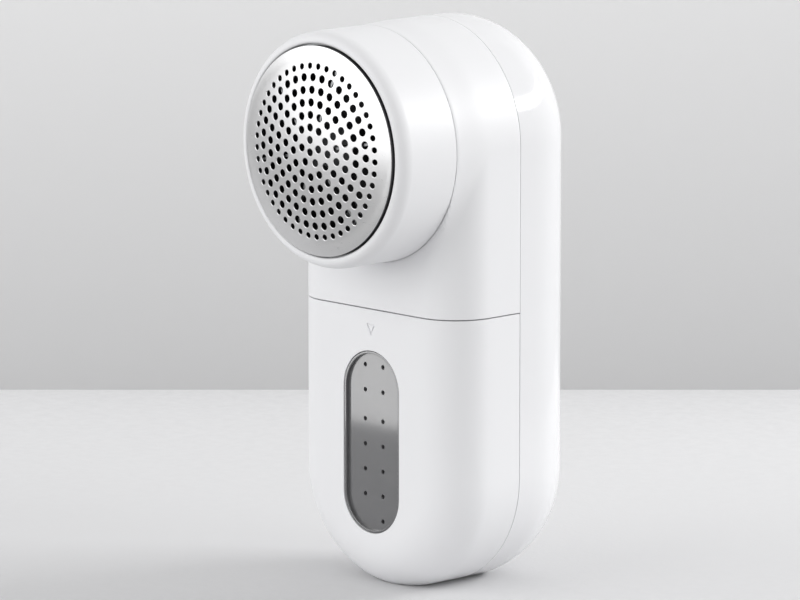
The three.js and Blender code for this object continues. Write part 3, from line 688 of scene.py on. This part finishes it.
def build_front_shell():
    shell = front_form()
    pocket = bar(HEAD_RADIUS + GAP, -FAR, STUB_FRONT, 0, HEAD_Z, 160)
    under = block("under", (-FAR, -FAR, -FAR), (FAR, FAR, SHELL_BOTTOM))
    boolean(shell, [pocket, under])
    hollow = casing("hollow", FRONT_ROUND - WALL, BODY_FRONT + WALL, FRONT_SEAM + 1, WALL, 0.0)
    boolean(hollow, [bar(HEAD_RADIUS + 0.4, -FAR, BULKHEAD_BACK, 0, HEAD_Z, 128)])
    apart = 0.01  # keeps this face off the last one's plane, where it would leave a membrane
    room = bar(HEAD_RADIUS - WALL, BULKHEAD_BACK + apart, -9, 0, HEAD_Z, 128)
    boolean(hollow, [room], "UNION")
    boolean(hollow, [block("floor", (-FAR, -FAR, -FAR), (FAR, FAR, SHELL_BOTTOM + WALL))])
    boolean(shell, [hollow])
    chute_low, chute_high = span("lint_chute")
    behind = -15  # depth past the bulkhead
    cuts = [
        block("mouth", (chute_low.x - GAP, chute_low.y - GAP, 0),
              (chute_high.x + GAP, chute_high.y + GAP, SHELL_BOTTOM + 5)),
        block("outlet", (-10, -FAR, 91), (10, behind, 98)),
        bar(4.5, -FAR, behind),
        bar(1.2, -FAR, behind, 0, middle_of("interlock_plunger")[1], 24),
    ]
    for i in (1, 2):
        x, z = middle_of(f"motor_screw_{i}")
        cuts += [bar(SCREW_HOLE, -FAR, behind, x, z, 24),
                 bar(2.2, -FAR, STUB_FRONT + 1.6, x, z, 32)]
    for i in (1, 2, 3):
        x, z = middle_of(f"housing_screw_{i}")
        cuts.append(bar(SCREW_HOLE, -FAR, STUB_FRONT + 2.2, x, z, 24))
    boolean(shell, cuts)
    post_x, post_z = 20, 86
    for x in (-post_x, post_x):
        boolean(shell, [bar(3.0, -21.0, FRONT_SEAM, x, post_z, 32)], "UNION")
        boolean(shell, [bar(SCREW_HOLE, -9.5, 0, x, post_z, 24)])

    def outer(p):
        return np.hypot(p.x, p.z - min(max(p.z, BOTTOM_Z), HEAD_Z)) > BODY_RADIUS - 0.6

    def foot(p):
        return abs(p.z - SHELL_BOTTOM) < 0.02 and on_face(p) and (outer(p) or p.y < -12)

    def rim(p):
        from_axis = math.hypot(p.x, p.z - HEAD_Z)
        return abs(from_axis - HEAD_RADIUS) < 0.45 and p.y < STUB_FRONT + 0.02

    bevel_where(shell, lambda p: p.y > FRONT_SEAM - 0.02 and outer(p), SEAM_ROUND)
    bevel_where(shell, foot, SEAM_ROUND)
    bevel_where(shell, rim, SEAM_ROUND, 2)
    return piece(shell, "main", MATERIALS["body_white"], ["front_shell"])


# ------------------------------------------------------------------ lint bin
WINDOW_RADIUS = 10.0
WINDOW_FLANGE = 1.6
TRIANGLE = [(-1.6, 67.2), (1.6, 67.2), (0, 64.1)]  # x and z; it shows the way the bin comes off
TRIANGLE_INRADIUS = 1.02


def build_lint_bin():
    shell = casing("lint_bin_skin", FRONT_ROUND, BODY_FRONT, FRONT_SEAM)
    hollow = casing("hollow", FRONT_ROUND - WALL, BODY_FRONT + WALL, FRONT_SEAM - WALL, WALL, 0.0)
    top = block("top", (-FAR, -FAR, BIN_TOP), (FAR, FAR, FAR * 2))
    under = block("under", (-FAR, -FAR, -FAR), (FAR, FAR, 0))
    boolean(shell, [top, under, hollow])
    for side in (-1, 1):
        x = side * 14
        pad = block("pad", (x - 4.3, -6.4, 8), (x + 4.3, FRONT_SEAM - 1, BIN_TOP))
        boolean(shell, [pad], "UNION")
        boolean(shell, [
            block("neck", (x - 1.3, -3, 9), (x + 1.3, 1, FAR)),
            block("head", (x - 2.3, -4.4, 9), (x + 2.3, -2.3, FAR)),
        ])
    low, high = span("bin_window")
    ends = (low.z + WINDOW_RADIUS + WINDOW_FLANGE, high.z - WINDOW_RADIUS - WINDOW_FLANGE)
    opening = dished_pill(WINDOW_RADIUS, ends[0], ends[1], BODY_FRONT, BODY_FRONT + 6, 0.18)
    boolean(shell, [opening, triangle_groove(0.42, 0.3)])

    def top_edge(p):
        return abs(p.z - BIN_TOP) < 0.02 and on_face(p) and p.y < FRONT_SEAM + 0.01

    bevel_where(shell, top_edge, SEAM_ROUND)
    bevel_where(shell, lambda p: p.z < 0.02 and p.y < FRONT_SEAM - 0.3, 0.3)
    return piece(shell, "bin", MATERIALS["body_white"], ["lint_bin"])


def triangle_groove(width, depth):
    """A cutter for the debossed outline triangle: an outer prism less an inner one."""
    centre = (sum(c[0] for c in TRIANGLE) / 3, sum(c[1] for c in TRIANGLE) / 3)

    def prism(scale, y1):
        ring = [(centre[0] + (cx - centre[0]) * scale, centre[1] + (cz - centre[1]) * scale)
                for cx, cz in TRIANGLE]
        rows = [[(px, y, pz) for px, pz in ring] for y in (BODY_FRONT - 1, y1)]
        return loft("prism", rows)

    outer = prism(1.0, BODY_FRONT + depth)
    return boolean(outer, [prism(1 - width / TRIANGLE_INRADIUS, BODY_FRONT + 1)])


VENT_RADIUS = 0.6
VENT_ROWS = [56.4, 50, 42.6, 36.2, 29.8, 23.45, 17.1]
VENT_COLUMNS = [-3.18, 3.18]
VENT_EDGE = 9.3  # a short third column, half hidden under the window's rim
VENT_START = -30  # in front of the pane, so that the vent goes right through


def build_window():
    """The pane: a shallow tray with a flange behind the bin's wall, and its vents."""
    low, high = span("bin_window")
    flange_radius = high.x
    ends = (low.z + flange_radius, high.z - flange_radius)
    outer = 9.86
    front, floor, back = BODY_FRONT + 0.2, BODY_FRONT + 1.1, high.y
    flange_front = back - 0.8
    edge = 0.15
    profile = [[outer - edge, front]]
    profile += [[r, y] for r, y in arc((outer - edge, front + edge), edge, 270, 360, 3)]
    profile += [[outer, flange_front], [flange_radius, flange_front], [flange_radius, back]]
    tray = pill_loft("bin_window_tray", ends[0], ends[1], profile, arc_steps=48, side_steps=8)
    pocket = dished_pill(outer - 0.62, ends[0], ends[1], front, floor, 0.2)
    boolean(tray, [pocket])
    places = [(x, z, VENT_START) for z in VENT_ROWS for x in VENT_COLUMNS]
    places.remove((VENT_COLUMNS[0], VENT_ROWS[-1], VENT_START))
    places += [(VENT_EDGE, z, floor - 0.3) for z in VENT_ROWS[1:5]]
    boolean(tray, [bar(VENT_RADIUS, start, -15, x, z, 20) for x, z, start in places])
    bevel_where(tray, lambda p: abs(p.y - floor) < 0.02 and abs(p.x) < 6 and p.z < 60, 0.08, 2)
    return piece(tray, "bin", MATERIALS["smoke_window"], ["bin_window"])


# ------------------------------------------------------------------ collar and foil
def build_collar():
    """The twist-off ring, with a rolled inner lip, a soft front edge and a rear flange."""
    lip, inside, flange = 26.5, 27.1, 25.4
    lip_back, roll = -40.62, 0.62
    crest = COLLAR_FRONT + 0.02
    profile = [[lip, lip_back], [lip, COLLAR_FRONT + 0.75]]
    profile += [[r, y] for r, y in arc((lip + roll, crest + roll), roll, 180, 270, 6)][1:]
    radial, axial = 2.35, 3.6
    for i in range(15):
        angle = math.pi / 2 * i / 14
        profile.append([HEAD_RADIUS - radial * (1 - math.sin(angle)),
                        crest + axial * (1 - math.cos(angle))])
    profile.append([HEAD_RADIUS, (COLLAR_FRONT + COLLAR_REAR) / 2 + 2])
    for r, y in arc((HEAD_RADIUS - SEAM_ROUND, COLLAR_REAR - SEAM_ROUND), SEAM_ROUND, 0, 90, 3):
        profile.append([r, y])
    flange_front = COLLAR_REAR - 1.45
    profile += [[flange, COLLAR_REAR], [flange, flange_front], [inside, flange_front],
                [inside, lip_back]]
    ring = lathe("collar_skin", profile, 192)
    return piece(ring, "collar_ring", MATERIALS["body_white"], ["collar"])


HOLE_PITCH = 3.08
HOLE_RINGS = [(5, 19), (12, 1), (18, 11), (24, 1), (30, 7), (36, 1)]  # count, first angle
HOLE_RADIUS = 0.99
SMALL_HOLES = (45, 21.22, -1, 0.76)  # count, ring radius, first angle, hole radius
FOIL_RISE = 2.8
DOME = (FOIL_RADIUS ** 2 + FOIL_RISE ** 2) / (2 * FOIL_RISE)  # radius of the dome's sphere


def dome_y(radius):
    """Depth of the dome's face at a distance from the head's axis."""
    return FOIL_TIP + DOME - math.sqrt(DOME ** 2 - radius ** 2)


def foil_holes():
    """(x, z, radius) of every hole, measured from the head's axis."""
    holes = [(0.0, 0.0, HOLE_RADIUS)]
    rings = [(count, HOLE_PITCH * (i + 1), turn, HOLE_RADIUS)
             for i, (count, turn) in enumerate(HOLE_RINGS)]
    for count, distance, turn, radius in [*rings, SMALL_HOLES]:
        for i in range(count):
            angle = math.radians(turn + 360 * i / count)
            holes.append((distance * math.cos(angle), distance * math.sin(angle), radius))
    return holes


def build_foil():
    """The perforated dome: a flat sheet triangulated round its holes, then raised and folded."""
    thickness, rim, dip, sides, rim_sides = 0.16, 0.11, 0.055, 28, 144
    points, edges, drop = [], [], []

    def circle(cx, cz, radius, count, sink):
        first = len(points)
        for i in range(count):
            angle = 2 * math.pi * i / count
            points.append(Vector((cx + radius * math.cos(angle), cz + radius * math.sin(angle))))
            drop.append(sink)
            edges.append((first + i, first + (i + 1) % count))
        return list(range(first, first + count))

    walls = []
    holes = foil_holes()
    for x, z, radius in holes:
        walls.append(circle(x, z, radius, sides, dip))
        circle(x, z, radius + rim, sides, 0.0)
    fold_radius = 0.24
    fold = FOIL_RADIUS - fold_radius
    for radius in (22.6, 23.4, 24.2, 25.0):
        circle(0, 0, radius, rim_sides, 0.0)
    border = circle(0, 0, fold, rim_sides, 0.0)
    made = delaunay_2d_cdt(points, edges, [], 0, 1e-5, True)
    flat, triangles = made[0], made[2]
    source = [[i for i in origins if i < len(points)] for origins in made[3]]
    hole_of = {v: i for i, wall in enumerate(walls) for v in wall}

    def is_kept(triangle):
        """A triangle whose three corners are on one hole's wall lies inside that hole."""
        at = {hole_of.get(source[v][0], -1) if source[v] else -1 for v in triangle}
        return len(at) > 1 or -1 in at

    kept = [t for t in triangles if is_kept(t)]
    used = sorted({i for t in kept for i in t})
    place = {v: i for i, v in enumerate(used)}
    sink = {v: drop[source[v][0]] if source[v] else 0.0 for v in used}
    verts = []
    for layer in range(2):
        for v in used:
            p = flat[v]
            y = dome_y(p.length) + (sink[v] if layer == 0 else thickness)
            verts.append((p.x, y, HEAD_Z + p.y))
    count = len(used)
    faces = [tuple(place[v] for v in t) for t in kept]
    faces += [tuple(place[v] + count for v in reversed(t)) for t in kept]
    back = {source[v][0]: place[v] for v in used if source[v]}
    for wall in walls:
        ring = [back[i] for i in wall]
        for a, b in zip(ring, ring[1:] + ring[:1]):
            faces.append((a, b, b + count, a + count))
    ring = [back[i] for i in border]
    edge_y = dome_y(fold)
    bend = [(r, -y) for r, y in arc((fold, -edge_y - fold_radius), fold_radius, 78, 0, 7)]
    outer_path = bend[1:] + [(FOIL_RADIUS, FOIL_BACK)]
    inside = FOIL_RADIUS - thickness
    inner_path = [(inside, FOIL_BACK), (inside, edge_y + 0.3),
                  (fold - 0.01, edge_y + thickness + 0.02)]
    previous = ring
    for radius, y in outer_path + inner_path:
        row = []
        for i in range(rim_sides):
            angle = 2 * math.pi * i / rim_sides
            row.append(len(verts))
            verts.append((radius * math.cos(angle), y, HEAD_Z + radius * math.sin(angle)))
        for j in range(rim_sides):
            k = (j + 1) % rim_sides
            faces.append((previous[j], previous[k], row[k], row[j]))
        previous = row
    last = [i + count for i in ring]
    for j in range(rim_sides):
        k = (j + 1) % rim_sides
        faces.append((previous[j], previous[k], last[k], last[j]))
    sheet = outward(make("foil_sheet", verts, faces))
    return piece(sheet, "foil_unit", MATERIALS["foil_steel"], ["foil"], angle=15)


# ------------------------------------------------------------------ switch, lamp and socket
def build_power_slider():
    """The thumb pad with five grip ribs and the fork that holds the switch."""
    high = span("power_slider")[1]
    middle = middle_of("power_slider")[1]
    radius, seat, face, edge = 5.0, BODY_BACK - 0.7, BODY_BACK + 0.3, 0.3
    profile = [[radius, seat], [radius, face - edge]]
    profile += [[r, y] for r, y in arc((radius - edge, face - edge), edge, 0, 90, 4)][1:]
    pad = pill_loft("power_slider_pad", middle - SLIDER_REACH, middle + SLIDER_REACH, profile,
                    arc_steps=40, side_steps=4)
    fork = block("fork", (-2, 22, middle - 2), (2, seat + 0.5, middle + 2))
    boolean(pad, [fork], "UNION")
    boolean(pad, [block("jaw", (-1.3, 20, middle - 1.3), (1.3, 23, middle + 1.3))])
    for i in range(-2, 3):
        z = middle + 1.8 * i
        ring = lambda half, y: pill_ring_x(half, 2.7, z, y)
        rib = loft("rib", [ring(0.35, seat + 0.5), ring(0.35, high.y - 0.2),
                           ring(0.27, high.y - 0.06), ring(0.12, high.y)])
        boolean(pad, [rib], "UNION")
    return piece(pad, "slider", MATERIALS["dark_plastic"], ["power_slider"])


def build_light_pipe():
    """A flanged pin with a slightly domed end."""
    low, high = span("led_light_pipe")
    flange, pin = 2.4, 1.5
    profile = [[0, low.y], [flange, low.y], [flange, low.y + 0.8], [pin, low.y + 0.8],
               [pin, high.y - 0.3], [1.42, high.y - 0.12], [1.1, high.y - 0.02], [0, high.y]]
    pipe = lathe("led_light_pipe_lens", profile, 48, 0, middle_of("led_light_pipe")[1])
    return piece(pipe, "main", MATERIALS["clear_plastic"], ["led_light_pipe"])


def build_usb_socket():
    """The plated shell and, as a piece of its own, the tongue inside it."""
    low, high = span("usb_socket")
    z = middle_of("usb_socket")[1]
    radius = high.z - z
    ring = lambda shrink, y: pill_ring_x(radius - shrink, SOCKET_REACH, z, y)
    rows = [ring(0, low.y), ring(0, high.y - 0.1), ring(0.05, high.y), ring(0.2, high.y),
            ring(0.33, high.y - 0.15), ring(0.35, low.y + 0.5)]
    socket = loft("usb_socket_shell", rows)
    piece(socket, "main", MATERIALS["nickel"], ["usb_socket"])
    half_wide, half_thick = 3.2, 0.34
    tongue = block("usb_socket_tongue", (-half_wide, low.y + 0.5, z - half_thick),
                   (half_wide, high.y - 0.6, z + half_thick))
    bevel_where(tongue, lambda p: True, 0.08, 2)
    return piece(tongue, "main", MATERIALS["black_plastic"])


# ------------------------------------------------------------------ stage, lights and camera
CAMERA_AZIMUTH = 46.19
CAMERA_ELEVATION = 9.94
CAMERA_DISTANCE = 1513.0
CAMERA_TARGET = Vector((-7.95, -6.31, 70.05))


def direction(azimuth, elevation):
    """Unit vector towards a viewpoint: azimuth 0 is in front of the foil, 90 on the +X side."""
    a, e = math.radians(azimuth), math.radians(elevation)
    return Vector((math.sin(a) * math.cos(e), -math.cos(a) * math.cos(e), math.sin(e)))


def add_camera():
    """A long lens, far away. Returns the direction from the part back to it."""
    data = bpy.data.cameras.new("camera")
    data.sensor_width = 36.0
    data.lens = 270.0
    data.clip_start, data.clip_end = 0.05, 20
    camera = bpy.data.objects.new("camera", data)
    bpy.context.scene.collection.objects.link(camera)
    back = direction(CAMERA_AZIMUTH, CAMERA_ELEVATION)
    camera.location = (CAMERA_TARGET + back * CAMERA_DISTANCE) * MM
    camera.rotation_mode = "QUATERNION"
    camera.rotation_quaternion = (-back).to_track_quat("-Z", "Y")
    bpy.context.scene.camera = camera
    return back


WALL_DISTANCE = 248.0
WALL_HALF = 420  # half the backdrop's width
WALL_HEIGHT = 460
TABLE_FRONT = -168.0  # where the table's front edge runs
TABLE_RIGHT = 240
TABLE_PAST = 400  # how much further the front edge runs to the left


def add_stage(back):
    """A pale table, a dimmer room beyond its front edge, and a grey backdrop square to the view."""
    heading = Vector((back.x, back.y, 0)).normalized()
    side = Vector((-heading.y, heading.x, 0))
    foot = -heading * WALL_DISTANCE
    left, right = foot - side * WALL_HALF, foot + side * TABLE_RIGHT
    near_right = right + heading * ((TABLE_FRONT - right.y) / heading.y)
    table = [(left.x - TABLE_PAST, TABLE_FRONT, 0), (near_right.x, TABLE_FRONT, 0),
             (right.x, right.y, 0), (left.x, left.y, 0)]
    floor = make("floor", table, [(0, 1, 2, 3)])
    right = foot + side * WALL_HALF
    wall = make("backdrop", [(left.x, left.y, 0), (right.x, right.y, 0),
                             (right.x, right.y, WALL_HEIGHT), (left.x, left.y, WALL_HEIGHT)],
                [(0, 1, 2, 3)])
    floor.data.materials.append(floor_paper(heading))
    wall.data.materials.append(backdrop_paper())


def floor_paper(heading):
    """White paper with a fine tooth, with painted shade that makes it greyer towards the front."""
    n = Nodes("floor_paper")
    along = n.add("VectorMath", {0: n.coordinates.outputs["Object"], 1: tuple(heading)},
                  operation="DOT_PRODUCT").outputs["Value"]
    # painted shade: the paper's colour darkens towards the front, standing in for the dimmer light
    # there
    near = n.ramp(along, 0, 1, (-0.25, 0.05))
    tooth = n.ramp(n.noise(260, detail=5, roughness=0.7), 0, 0.35, (0.35, 0.65))
    paper = n.mix(near, (0.86, 0.86, 0.868, 1), (0.66, 0.66, 0.668, 1))
    n.principled(Base_Color=n.mix(tooth, paper, (0.72, 0.72, 0.728, 1)))
    n.shader.inputs["Roughness"].default_value = 0.85
    n.shader.inputs["Specular IOR Level"].default_value = 0.2
    n.bump(n.noise(700, detail=5), 0.05)
    return n.material


def backdrop_paper():
    """Grey paper, with painted shade darkening it smoothly towards the table; clear when seen from
    behind.
    """
    n = Nodes("backdrop_paper")
    height = n.add("SeparateXYZ", {"Vector": n.coordinates.outputs["Object"]}).outputs["Z"]
    # painted shade: the colour darkens towards the table, standing in for the dimmer light low on
    # the backdrop
    n.principled(Base_Color=n.mix(n.ramp(height, 0, 1, (0.0, 0.16)),
                                  (0.57, 0.57, 0.573, 1), (0.90, 0.90, 0.902, 1)))
    n.shader.inputs["Roughness"].default_value = 0.9
    n.shader.inputs["Specular IOR Level"].default_value = 0.1
    back = n.add("NewGeometry").outputs["Backfacing"]
    clear = n.add("BsdfTransparent").outputs["BSDF"]
    mixed = n.add("MixShader", {0: back, 1: n.shader.outputs["BSDF"], 2: clear})
    n.feed(n.tree.nodes["Material Output"].inputs["Surface"], mixed.outputs["Shader"])
    return n.material


def area_light(name, power, size, place, target):
    """A rectangular softbox at place, aimed at target."""
    data = bpy.data.lights.new(name, "AREA")
    data.energy = power
    data.shape = "RECTANGLE"
    data.size, data.size_y = size[0] * MM, size[1] * MM
    light = bpy.data.objects.new(name, data)
    bpy.context.scene.collection.objects.link(light)
    light.location = Vector(place) * MM
    way = Vector(target) - Vector(place)
    light.rotation_mode = "QUATERNION"
    light.rotation_quaternion = way.to_track_quat("-Z", "Y")
    return light


def studio_world():
    """Even light from above that falls off to a dim room below the table."""
    world = bpy.data.worlds.new("studio")
    world.use_nodes = True
    tree = world.node_tree
    background = tree.nodes["Background"]
    place = tree.nodes.new("ShaderNodeTexCoord")
    split = tree.nodes.new("ShaderNodeSeparateXYZ")
    tree.links.new(place.outputs["Generated"], split.inputs[0])
    product = tree.nodes.new("ShaderNodeMath")
    product.operation = "MULTIPLY"
    # from height to brightness: the rise out of the dim room, then the fall towards the zenith
    for i, (kind, *limits) in enumerate([("SMOOTHSTEP", -0.22, 0.25, 0.42, 0.70),
                                         ("LINEAR", 0.35, 1.0, 1.0, 0.6)]):
        ramp = tree.nodes.new("ShaderNodeMapRange")
        ramp.interpolation_type = kind
        for socket, value in zip(("From Min", "From Max", "To Min", "To Max"), limits):
            ramp.inputs[socket].default_value = value
        tree.links.new(split.outputs["Z"], ramp.inputs["Value"])
        tree.links.new(ramp.outputs["Result"], product.inputs[i])
    tree.links.new(product.outputs[0], background.inputs["Strength"])
    background.inputs["Color"].default_value = (1, 1, 1, 1)
    bpy.context.scene.world = world


def add_lights(pane):
    """A studio: strip box behind right, box right, tall box front left, soft box overhead, and a
    low box that only the bin's window mirrors, cut off by the table's front edge."""
    studio_world()
    middle = Vector((0, 0, 80))
    area_light("strip_right", 6.0, (560, 125), middle + direction(149, 23) * 1000, middle)
    area_light("box_right", 1.2, (460, 900), middle + direction(104, 24) * 1000, middle)
    area_light("box_front_left", 4.6, (1250, 800), (-480, -760, 390), (-480, 0, 200))
    area_light("box_top", 0.5, (1000, 1000), (-60, 60, 1050), (0, 0, 0))
    low = area_light("box_low", 1.55, (700, 260), (-705, -760, -60), (-705, 0, -60))
    only = bpy.data.collections.new("window_only")
    only.objects.link(pane)
    low.light_linking.receiver_collection = only


# ------------------------------------------------------------------ the scene
dress_nodes()
heading_back = add_camera()
build_rear_shell()
build_front_shell()
build_lint_bin()
pane = build_window()
build_collar()
build_foil()
build_power_slider()
build_light_pipe()
build_usb_socket()
add_stage(heading_back)
add_lights(pane)
bpy.context.scene.view_settings.view_transform = "Standard"
